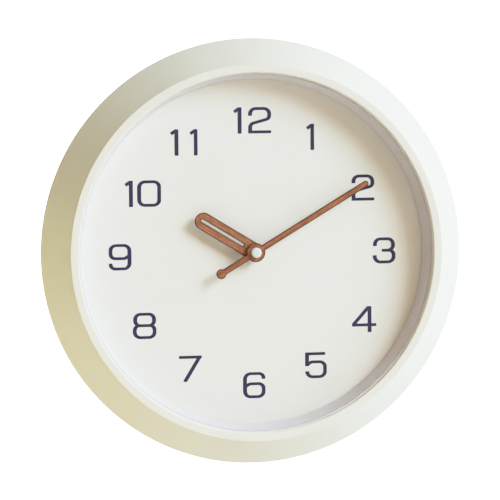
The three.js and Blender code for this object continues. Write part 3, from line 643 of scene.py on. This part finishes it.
def make_bezel():
    stop_radius = cone_radius(STOP_DEPTH) - SHELL_ACROSS
    seat_front = LENS_FRONT - LENS_GAP_FRONT
    profile = rounded([
        (LIP_INNER[0] - 0.6, seat_front),
        (LIP_INNER[0], LIP_INNER[1], 0.5),
        (LIP_OUTER[0] - 0.1, LIP_OUTER[1], 0.7),
        (OUTER_RADIUS, WIDEST_DEPTH - WIDEST_HALF, 2.2),
        (OUTER_RADIUS, WIDEST_DEPTH + WIDEST_HALF, 0.6),
        (BACK_RADIUS_FRONT, BACK_FRONT - SEAM, 0.3),
        (stop_radius, BACK_FRONT - SEAM),
        (stop_radius, STOP_DEPTH),
        (SLEEVE_RADIUS, LIP_OUTER[1] + 4),
        (SLEEVE_RADIUS, SLEEVE_BACK),
        (SEAT_RADIUS, SLEEVE_BACK),
        (SEAT_RADIUS, seat_front),
    ])
    bosses = []
    bores = []
    for x, z in SCREW_PLACES:
        rib = block(SLEEVE_RADIUS - 1, math.hypot(x, z) - 2, BOSS_FRONT, SLEEVE_BACK, -1, 1)
        outward = Matrix.Rotation(-math.atan2(z, x), 4, "Y")
        bosses += [disc(BOSS_RADIUS, BOSS_FRONT, BOSS_BACK, x, z), moved(rib, outward)]
        bores.append(disc(BOSS_BORE, -4, BOSS_BACK + 1, x, z))
    shell = combined("UNION", turned(profile), *bosses)
    shell = combined("DIFFERENCE", shell, *bores)
    piece("bezel_shell", shell, "bezel_cream", ["bezel"])


def make_lens():
    front = [(0, LENS_FRONT), (RIM_RADIUS, LENS_FRONT, 0.25)]
    back = [(RIM_RADIUS, LENS_BACK, 0.25), (0, LENS_BACK)]
    piece("lens_sheet", turned(rounded(front + back)), "lens_clear", ["lens"])


def make_spacer():
    """The tapered wall between lens and dial, with a flange behind the lens."""
    slope = (LIP_INNER[0] - DIAL_OPENING) / LIP_INNER[1]
    front = LENS_BACK + LENS_GAP_BACK
    flange = front + SPACER_WALL
    back = SPACER_BACK
    profile = rounded([
        (DIAL_OPENING + slope * front, front),
        (RIM_RADIUS, front),
        (RIM_RADIUS, flange),
        (DIAL_OPENING + slope * flange + SPACER_WALL, flange, 0.4),
        (DIAL_OPENING + slope * back + SPACER_WALL, back, 0.3),
        (DIAL_OPENING + slope * back, back, 0.25),
    ])
    piece("spacer_wall", turned(profile), "spacer_white", ["spacer_ring"])


def make_dial():
    back = DIAL_THICKNESS
    profile = [
        (DIAL_HOLE, 0, 0.1),
        (RIM_RADIUS, 0, 0.2),
        (RIM_RADIUS, back, 0.2),
        (DIAL_HOLE, back, 0.1),
    ]
    sheet = turned(rounded(profile, True, 3))
    piece("dial_sheet", sheet, "dial_paint", ["dial"])


def raised_bead(radius):
    """A low round stiffening ring on the back plate, as part of its profile from outside in."""
    half = 1.4
    foot, top = half + 0.8, PLATE_BACK + 0.9
    return [
        (radius + foot, PLATE_BACK, 0.5),
        (radius + half, top, 0.6),
        (radius - half, top, 0.6),
        (radius - foot, PLATE_BACK, 0.5),
    ]


def make_back_case():
    """The tray behind the dial, with a window for the movement and a keyhole for the nail."""
    wall_slope = (BACK_RADIUS_REAR - BACK_RADIUS_FRONT) / (WALL_DEPTH - BACK_FRONT)
    wall_front = BACK_RADIUS_FRONT + wall_slope * (PLATE_FRONT - BACK_FRONT) - SHELL
    tongue_outer = cone_radius(STOP_DEPTH) - SHELL_ACROSS - FIT
    tray = rounded([
        (0, PLATE_FRONT),
        (wall_front, PLATE_FRONT, 0.8),
        (TONGUE_INNER, TONGUE_FRONT + 4),
        (TONGUE_INNER, TONGUE_FRONT, 0.3),
        (tongue_outer, TONGUE_FRONT, 0.3),
        (tongue_outer, BACK_FRONT),
        (BACK_RADIUS_FRONT, BACK_FRONT, 0.3),
        (BACK_RADIUS_REAR, WALL_DEPTH, 0.7),
        (BACK_RADIUS_REAR - SHELL, WALL_DEPTH, 0.7),
        (BACK_RADIUS_REAR - SHELL + 0.6, PLATE_BACK, 1.0),
        *raised_bead(BEADS[0]),
        *raised_bead(BEADS[1]),
        (0, PLATE_BACK),
    ])
    inside = PLATE_FRONT + 0.5  # what stands on the plate starts within it
    rooted = PLATE_BACK - 0.5
    outside = PLATE_BACK + 3  # what is cut through the plate ends clear of it
    window = MOVEMENT_HALF + 1.2
    key_top, key_low = NAIL_HEIGHT, NAIL_HEIGHT - KEY_DROP
    ring_inner, ring_outer, ring_front = DIAL_RING
    ring = [
        (ring_inner, ring_front),
        (ring_outer, ring_front),
        (ring_outer, inside),
        (ring_inner, inside),
    ]
    added = [
        turned(ring),
        slab([rounded_square(window + 1.6, 3)], 14.5, inside),
        slab([stadium(KEY_ENTRY + 2.5, key_low, key_top)], 16.6, inside),
        slab([rounded_square(window + 2.6, 4.4)], rooted, PLATE_BACK + 1.6, 0.5),
        slab([stadium(KEY_ENTRY + 2, key_low, key_top - 1)], rooted, PLATE_BACK + 1, 0.4),
    ]
    cuts = [
        slab([rounded_square(window, 2)], 14, outside),
        slab([stadium(KEY_SLOT, key_low, key_top)], 16, outside),
        disc(KEY_ENTRY, 16, outside, 0, key_low, 48),
    ]
    for x, z in SCREW_PLACES:
        added.append(disc(POST_RADIUS, POST_FRONT, inside, x, z))
        cuts.append(disc(POST_BORE, POST_FRONT - 0.3, SCREW_SEAT + 1, x, z))
        cuts.append(disc(SCREW_HEAD + FIT, SCREW_SEAT, outside, x, z, 48))
    for quarter in range(4):
        rib = block(window + 1.2, ring_inner + 0.4, 15, inside, -0.8, 0.8)
        outward = Matrix.Rotation(math.radians(22.5 + 90 * quarter), 4, "Y")
        added.append(moved(rib, outward))
    whole = combined("UNION", turned(tray), *added)
    whole = combined("DIFFERENCE", whole, *cuts)
    piece("back_tray", whole, "case_cream", ["back_case"])


def make_screws():
    under, top = SCREW_SEAT + 0.3, SCREW_SEAT + 2.2
    profile = rounded([
        (0, SCREW_SEAT - SCREW_LENGTH),
        (SCREW_CORE, SCREW_SEAT - SCREW_LENGTH + 1.5),
        (SCREW_CORE, under),
        (SCREW_HEAD, under, 0.2),
        (SCREW_HEAD, top - 0.7, 0.5),
        (SCREW_HEAD * 0.55, top - 0.05, 1.5),
        (0, top),
    ], False)
    arm, half, bottom, above = 1.5, 0.35, SCREW_SEAT + 1.2, SCREW_SEAT + 3
    for i, (x, z) in enumerate(SCREW_PLACES):
        cross = [
            block(-arm, arm, bottom, above, -half, half),
            block(-half, half, bottom, above, -arm, arm),
        ]
        screw = combined("DIFFERENCE", turned(profile, 48), *cross)
        screw = moved(screw, Matrix.Translation((x, 0, z)))
        piece(f"screw_{i + 1}", screw, "steel", [f"case_screw_{i + 1}"])


def make_screws():
    profile = rounded([
        (0, SCREW_SEAT - 10),
        (1.2, SCREW_SEAT - 8.5),
        (1.2, SCREW_SEAT + 0.3),
        (SCREW_HEAD, SCREW_SEAT + 0.3, 0.2),
        (SCREW_HEAD, SCREW_SEAT + 1.5, 0.5),
        (SCREW_HEAD * 0.55, SCREW_SEAT + 2.15, 1.5),
        (0, SCREW_SEAT + 2.2),
    ], False)
    for i, (x, z) in enumerate(SCREW_PLACES):
        body = turned(profile, 48)
        arms = [block(-1.5, 1.5, 9.2, 11, -0.35, 0.35), block(-0.35, 0.35, 9.2, 11, -1.5, 1.5)]
        body = moved(combined("DIFFERENCE", body, *arms), Matrix.Translation((x, 0, z)))
        piece(f"screw_{i + 1}", body, "steel", [f"case_screw_{i + 1}"])


# ---- Numerals ----

# Each digit is drawn as pen strokes inside its ink box: the box's width, then the strokes'
# points as (x, z) or (x, z, corner radius). A stroke that ends with "closed" is a loop.
TOP, BASE, LEFT = DIGIT_HEIGHT - BAR_HALF, BAR_HALF, STEM_HALF
SIX = [
    [(14.8, 13.5), (14.8, TOP, 3.4), (LEFT, TOP, 4), (LEFT, BASE, 4), (8, BASE)],
    [(7.9, BASE), (14.8, BASE, 4), (14.8, 10.2, 3.6), (4.8, 10.2, 4), (LEFT + 0.3, 8.4)],
]
DIGITS = {
    "0": (16.8, [[(LEFT, TOP, 4), (15.6, TOP, 4), (15.6, BASE, 4), (LEFT, BASE, 4), "closed"]]),
    "1": (5.8, [[(4.6, 0), (4.6, DIGIT_HEIGHT)], [(4.6, 17.8), (0.7, 15.2)]]),
    "2": (16.4, [
        [(LEFT, 12.4), (LEFT, TOP, 3.8), (15.1, TOP, 4), (15.1, 10.3, 3), (LEFT, 6.6, 3.2), (LEFT, 0)],
        [(0, BASE), (16.4, BASE)],
    ]),
    "3": (16.4, [
        [(1.6, 12.4), (1.6, TOP, 3.8), (14.7, TOP, 3.8), (14.7, 9.3, 3.6), (6.5, 9.3)],
        [(9, 9.3), (15.2, 9.3, 3.6), (15.2, BASE, 4.2), (LEFT, BASE, 4.2), (LEFT, 5.9)],
    ]),
    "4": (17.5, [
        [(12.7, 0), (12.7, DIGIT_HEIGHT)],
        [(0, 5.2), (17.5, 5.2)],
        [(0.7, 5.2), (12.6, 18.6)],
    ]),
    "5": (15.6, [
        [(LEFT, DIGIT_HEIGHT), (LEFT, 8.7)],
        [(0, TOP), (14.5, TOP)],
        [(LEFT, 9.7), (4.4, 11.6, 3.5), (14.4, 11.6, 4), (14.4, BASE, 4.2), (LEFT, BASE, 4), (LEFT, 4.9)],
    ]),
    "6": (16, SIX),
    "7": (16.2, [[(0, TOP), (16.2, TOP)], [(15.4, 18.6), (4, 0)]]),
    "8": (16.7, [
        [(LEFT + 0.4, TOP, 3.6), (15.1, TOP, 3.6), (15.1, 9.4, 3.4), (LEFT + 0.4, 9.4, 3.4), "closed"],
        [(LEFT, 9.4, 3.4), (15.5, 9.4, 3.4), (15.5, BASE, 4), (LEFT, BASE, 4), "closed"],
    ]),
}
DIGITS["9"] = (16, [
    [(16 - x, DIGIT_HEIGHT - z, *radius) for x, z, *radius in stroke] for stroke in SIX
])

# Space between a leading 1 and the digit after it.
PAIR_GAPS = {"10": 3.2, "11": 7.9, "12": 4.9}

# Where each upright numeral's ink is centred: clock angle and distance from the middle.
NUMERAL_PLACES = {
    "12": (0, 93.3), "1": (27, 91), "2": (60.5, 91), "3": (90, 94.3),
    "4": (121.4, 93.2), "5": (151, 91.8), "6": (180, 93.2), "7": (209.5, 92.3),
    "8": (237.6, 92), "9": (269.5, 94.4), "10": (299, 89.2), "11": (328.2, 92.4),
}
NUMERAL_CENTRE = (-0.35, -1.0)  # the print is a little off the dial's axis


def pen_stroke(points, shift):
    """One stroke of a pen that is wide across upright lines and narrow across level ones."""
    closed = points[-1] == "closed"
    corners = [(p[0] + shift, *p[1:]) for p in points if p != "closed"]
    line = [Vector(p) for p in rounded(corners, closed, 10)]
    left, right = [], []
    for i, here in enumerate(line):
        before = line[i - 1] if closed or i else here
        after = line[(i + 1) % len(line)] if closed or i < len(line) - 1 else here
        along = (after - before).normalized()
        normal = Vector((-along.y, along.x))
        half = math.hypot(STEM_HALF * normal.x, BAR_HALF * normal.y)
        left.append(tuple(here + normal * half))
        right.append(tuple(here - normal * half))
    if closed:
        return slab([left, hole(right)], INK_FRONT, INK_BACK)
    return slab([left + right[::-1]], INK_FRONT, INK_BACK)


def make_numeral(text, angle, distance):
    """One upright numeral, trimmed to its ink box so that its strokes end flat."""
    strokes = []
    width = 0
    for i, digit in enumerate(text):
        digit_width, drawn = DIGITS[digit]
        strokes += [pen_stroke(points, width) for points in drawn]
        width += digit_width + (PAIR_GAPS[text] if i + 1 < len(text) else 0)
    ink = combined("UNION", *strokes) if len(strokes) > 1 else strokes[0]
    ink_box = block(0, width, INK_FRONT - 1, INK_BACK + 1, 0, DIGIT_HEIGHT)
    ink = combined("INTERSECT", ink, ink_box)
    x = NUMERAL_CENTRE[0] + distance * math.sin(math.radians(angle)) - width / 2
    z = NUMERAL_CENTRE[1] + distance * math.cos(math.radians(angle)) - DIGIT_HEIGHT / 2
    piece(f"numeral_{text}", moved(ink, Matrix.Translation((x, 0, z))), "numeral_ink")


# ---- Hands ----

def minute_hand_outline():
    """The blade, its hub and its counterweight as one anticlockwise outline, pointing to 12."""
    half = MINUTE_WIDTH / 2
    at_hub = math.degrees(math.asin(half / MINUTE_HUB))
    at_weight = math.degrees(math.asin(half / MINUTE_WEIGHT))
    tip = arc(0, MINUTE_REACH - half, half, 0, 180)
    left_hub = arc(0, 0, MINUTE_HUB, 90 + at_hub, 270 - at_hub)
    weight = arc(0, -MINUTE_TAIL, MINUTE_WEIGHT, 90 + at_weight, 450 - at_weight, 40)
    right_hub = arc(0, 0, MINUTE_HUB, 270 + at_hub, 450 - at_hub)
    return tip + left_hub + weight + right_hub


def make_minute_hand():
    front, back = depths("minute_hand")
    loops = [minute_hand_outline(), hole(circle(0, 0, ARBOR_BORE, 24))]
    hand = slab(loops, front, back, HAND_EDGE)
    piece(
        "minute_hand_wood", hand, "minute_wood", ["minute_hand"],
        body="minute_group", turn=MINUTE_ANGLE,
    )


def make_hour_hand():
    front, back = depths("hour_hand")
    half, slot = HOUR_WIDTH / 2, HOUR_SLOT / 2
    loops = [
        stadium(half, 0, HOUR_REACH - half, 40),
        hole(stadium(slot, HOUR_SLOT_FROM + slot, HOUR_SLOT_TO - slot, 12)),
        hole(circle(0, 0, PIPE_BORE, 32)),
    ]
    hand = slab(loops, front, back, HAND_EDGE)
    piece(
        "hour_hand_wood", hand, "hour_wood", ["hour_hand"],
        body="hour_group", turn=HOUR_ANGLE,
    )


def make_hand_cap():
    front, back = depths("hand_cap")
    radius = half_width("hand_cap")
    profile = rounded([
        (0, front),
        (radius - 0.7, front + 0.12, 1),
        (radius, front + 0.5, 0.35),
        (radius, back, 0.15),
        (ARBOR_BORE, back),
        (ARBOR_BORE, front + 1),
        (0, front + 1),
    ], False)
    cap = turned(profile, 64)
    piece(
        "hand_cap_enamel", cap, "cap_enamel", ["hand_cap"],
        body="minute_group", turn=MINUTE_ANGLE,
    )


# ---- Movement pieces seen from behind ----

def make_battery():
    """A dry cell turned about its length: steel ends, a shoulder and a button at the plus end."""
    x0, x1, z0, z1 = edges("battery")
    radius = (z1 - z0) / 2
    z = place("battery")[1]
    depth = sum(depths("battery")) / 2
    shoulder = x1 - 1.5
    profile = rounded([
        (0, x0),
        (radius - 0.9, x0, 0.2),
        (radius - 0.9, x0 + 0.3, 0.15),
        (radius, x0 + 0.3, 0.5),
        (radius, shoulder - 0.2, 0.7),
        (4.4, shoulder - 0.2, 0.2),
        (4.2, shoulder - 0.5, 0.2),
        (3.0, shoulder - 0.3, 0.4),
        (2.6, x1, 0.4),
        (0, x1),
    ], False)
    stand = Matrix.Translation((0, depth, z)) @ Matrix.Rotation(math.radians(-90), 4, "Z")
    cell = moved(turned(profile, 64), stand)
    piece("battery_cell", cell, "cell_jacket", ["battery"])


def fluted(radius, depth, count, steps=6):
    """A round knob's outline with shallow grip flutes."""
    outline = []
    for i, (x, z) in enumerate(circle(0, 0, 1, count * steps)):
        wave = radius - depth * (0.5 - 0.5 * math.cos(2 * math.pi * i / steps))
        outline.append((x * wave, z * wave))
    return outline


def make_setting_knob():
    front, back = depths("setting_knob")
    x, z = place("setting_knob")
    radius = half_width("setting_knob")
    grip = slab([fluted(radius, 0.35, 24)], front, back, 0.3)
    dish = rounded([
        (0, back - 0.7),
        (radius - 2.2, back - 0.6, 0.6),
        (radius - 1.6, back + 1),
        (0, back + 1),
    ])
    hub = rounded([
        (0, back - 0.85),
        (1.3, back - 0.85),
        (1.1, back - 0.1, 0.2),
        (0, back - 0.05),
    ])
    socket = disc(1.5, front - 1, back - 0.9, steps=24)
    knob = combined("DIFFERENCE", grip, turned(dish, 48))
    knob = combined("UNION", knob, turned(hub, 32))
    knob = moved(combined("DIFFERENCE", knob, socket), Matrix.Translation((x, 0, z)))
    piece("setting_knob_grip", knob, "acetal_white", ["setting_knob"], "setting_group")


def curved_arrow(radius, start, end, half):
    """An arrow bent around the origin from one angle to another, with its head beyond the end."""
    head_turn, head_half = math.copysign(26, end - start), 2.6 * half
    outer = arc(0, 0, radius + half, start, end)
    inner = arc(0, 0, radius - half, end, start)
    wide = [arc(0, 0, radius + side, end, end, 1)[0] for side in (head_half, -head_half)]
    tip = arc(0, 0, radius, end + head_turn, end + head_turn, 1)[0]
    loop = outer + [wide[0], tip, wide[1]] + inner
    return loop if end > start else loop[::-1]


def make_movement_cover():
    """The lid, with a ring and an arrow engraved around the knob and grip lines at one side."""
    front, back = depths("movement_cover")
    x0, x1, z0, z1 = edges("movement_cover")
    knob_x, knob_z = place("setting_knob")
    at_knob = Matrix.Translation((knob_x, 0, knob_z))
    clear = back + 1
    engraved = back - 0.3
    lid = slab([rounded_box(x0, x1, z0, z1, 0.6)], front, back, 0.2)
    ring = [circle(0, 0, 6.9, 64), hole(circle(0, 0, 6.3, 64))]
    cuts = [
        moved(disc(1.6, front - 1, clear), at_knob),
        moved(slab(ring, engraved, clear), at_knob),
        moved(slab([curved_arrow(8.6, 150, 60, 0.35)], engraved, clear), at_knob),
    ]
    for row in range(5):
        z = z0 + 2.2 + 1.4 * row
        cuts.append(slab([rounded_box(x0 + 4, x0 + 17, z, z + 0.6, 0.25)], back - 0.35, clear))
    lid = combined("DIFFERENCE", lid, *cuts)
    piece("movement_lid", lid, "movement_black", ["movement_cover"])


# ---- Stage ----

CAMERA_DISTANCE = 2.2
CAMERA_YAW, CAMERA_PITCH, CAMERA_ROLL = 10.67, 4.05, -0.46
CAMERA_AIM = Vector((-2.6, 0, 1.3)) * MM
CAMERA_LENS = 225.6
BACKDROP_STRENGTH = 6
FLOOR_RADIUS, FLOOR_THICKNESS, FLOOR_DROP = 1.6, 0.02, 0.45  # in metres


def from_dial(yaw, pitch):
    """Direction from the dial to a place on the viewer's left by yaw and above by pitch."""
    yaw, pitch = math.radians(yaw), math.radians(pitch)
    level = math.cos(pitch)
    return Vector((-math.sin(yaw) * level, -math.cos(yaw) * level, math.sin(pitch)))


def make_camera():
    """The photo's view: a long lens, a little to the viewer's left and above."""
    camera = bpy.data.objects.new("camera", bpy.data.cameras.new("camera"))
    bpy.context.scene.collection.objects.link(camera)
    toward = from_dial(CAMERA_YAW, CAMERA_PITCH)
    roll = Matrix.Rotation(math.radians(CAMERA_ROLL), 3, "Z")
    turn = (-toward).to_track_quat("-Z", "Y").to_matrix() @ roll
    spot = DIAL_CENTRE + CAMERA_AIM + toward * CAMERA_DISTANCE
    camera.matrix_world = Matrix.Translation(spot) @ turn.to_4x4()
    camera.data.lens = CAMERA_LENS
    camera.data.sensor_width = 36
    camera.data.clip_start = 0.1
    bpy.context.scene.camera = camera


# Soft lamps around the clock: the direction from the dial, the distance and the diameter in
# metres, the power in watts, and the colour.
STUDIO_LAMPS = {
    "key": ((5.9, -4.7, 4.4), 3.6, 1.9, 127, (0.71, 0.905, 1.035)),
    "window": ((8, -2.6, 0.5), 3, 1.6, 29, (0.77, 0.94, 1)),
    "fill": ((3, -6, 2), 3, 2.6, 16.5, (1, 0.58, 0.2)),
    "top": ((0, -3, 8), 2, 1.4, 6, (1, 0.92, 0.85)),
    "glow": ((-4, -2, -5), 0.5, 0.4, 0.33, (1, 0.64, 0.02)),
    "side": ((-9, 3, 0), 1.5, 1, 6.6, (0.97, 0.97, 0.5)),
    "rear": ((-2, 8, 4), 2.5, 1.6, 22, (0.94, 0.96, 1)),
}


def make_lamps():
    for name, (toward, distance, size, power, colour) in STUDIO_LAMPS.items():
        data = bpy.data.lights.new(name, "AREA")
        data.shape = "DISK"
        data.size = size
        data.energy = power
        data.color = colour
        lamp = bpy.data.objects.new(name, data)
        direction = Vector(toward).normalized()
        lamp.location = DIAL_CENTRE + direction * distance
        lamp.rotation_euler = (-direction).to_track_quat("-Z", "Y").to_euler()
        lamp.visible_camera = False
        bpy.context.scene.collection.objects.link(lamp)


# The room's soft light, by the direction that it comes from.
ROOM_LIGHT = {
    "right": (0.02, 0.02, 0.02),
    "left": (0.02, 0.02, 0.02),
    "front": (0.22, 0.125, 0.045),
    "behind": (0.6, 0.6, 0.6),
    "above": (0.06, 0.05, 0.02),
    "below": (0.02, 0.02, 0.02),
}
DIRECTIONS = {
    "right": ("X", 1),
    "left": ("X", -1),
    "front": ("Y", -1),
    "behind": ("Y", 1),
    "above": ("Z", 1),
    "below": ("Z", -1),
}


def make_room_light():
    """A white backdrop to the camera, and soft light that differs a little by direction."""
    world = bpy.data.worlds.new("studio")
    bpy.context.scene.world = world
    world.use_nodes = True
    tree = world.node_tree
    tree.nodes.clear()

    def node(kind, **settings):
        made = tree.nodes.new("ShaderNode" + kind)
        for key, value in settings.items():
            setattr(made, key, value)
        return made

    direction = node("TexCoord").outputs["Generated"]
    parts = node("SeparateXYZ")
    tree.links.new(direction, parts.inputs[0])
    total = None
    for side, (part, sign) in DIRECTIONS.items():
        share = node("Math", operation="MULTIPLY", use_clamp=True)
        tree.links.new(parts.outputs[part], share.inputs[0])
        share.inputs[1].default_value = sign
        tinted = node("VectorMath", operation="SCALE")
        tinted.inputs[0].default_value = ROOM_LIGHT[side]
        tree.links.new(share.outputs[0], tinted.inputs["Scale"])
        if total is None:
            total = tinted.outputs[0]
            continue
        adding = node("VectorMath", operation="ADD")
        tree.links.new(total, adding.inputs[0])
        tree.links.new(tinted.outputs[0], adding.inputs[1])
        total = adding.outputs[0]
    room = node("Background")
    tree.links.new(total, room.inputs["Color"])
    backdrop = node("Background")
    backdrop.inputs["Color"].default_value = (1, 1, 1, 1)
    backdrop.inputs["Strength"].default_value = BACKDROP_STRENGTH
    seen = node("LightPath").outputs["Is Camera Ray"]
    chosen = node("MixShader")
    tree.links.new(seen, chosen.inputs[0])
    tree.links.new(room.outputs[0], chosen.inputs[1])
    tree.links.new(backdrop.outputs[0], chosen.inputs[2])
    tree.links.new(chosen.outputs[0], node("OutputWorld").inputs["Surface"])


def soften_highlights():
    """Rolls bright tones off toward white, as a camera does, and leaves the rest as they are."""
    view = bpy.context.scene.view_settings
    view.view_transform = "Standard"
    view.use_curve_mapping = True
    curves = view.curve_mapping
    brightest = 4
    curves.clip_max_x = brightest
    curves.extend = "HORIZONTAL"
    knee = 0.6
    room = 1 - knee
    for channel in curves.curves[:3]:
        channel.points[1].location = (brightest, 1)
        for light in (0.3, knee, 0.7, 0.8, 0.9, 1.0, 1.2, 1.5, 2.0, 3.0):
            rolled = light if light <= knee else 1 - room * math.exp((knee - light) / room)
            channel.points.new(light, rolled)
        for point in channel.points:
            point.handle_type = "AUTO_CLAMPED"
    curves.update()


def make_floor():
    """A round pale studio floor below the clock."""
    radius, top = FLOOR_RADIUS, FLOOR_THICKNESS
    profile = rounded([(0, 0), (radius, 0, 0.01), (radius, top, 0.005), (0, top)], True, 3)
    bm = moved(turned(profile, 96), Matrix.Rotation(math.radians(-90), 4, "X"))
    floor = loose_object(bm, "studio_floor")
    floor.location = (DIAL_CENTRE.x, 0, DIAL_CENTRE.z - FLOOR_DROP)
    s = Shader("floor_paper")
    tone = s.mix(s.spread(s.noise(180, 3), 0.3, 0.7), linear(232, 231, 229), linear(238, 237, 235))
    fibres = s.bump(s.noise(4, 3), 0.05)
    floor.data.materials.append(s.finish(Base_Color=tone, Roughness=0.8, Normal=fibres))
    smooth(floor)


make_camera()
make_bezel()
make_lens()
make_spacer()
make_dial()
make_back_case()
make_screws()
for numeral, (angle, distance) in NUMERAL_PLACES.items():
    make_numeral(numeral, angle, distance)
make_minute_hand()
make_hour_hand()
make_hand_cap()
make_battery()
make_setting_knob()
make_movement_cover()
dress_cad_nodes()
make_floor()
make_room_light()
make_lamps()
soften_highlights()
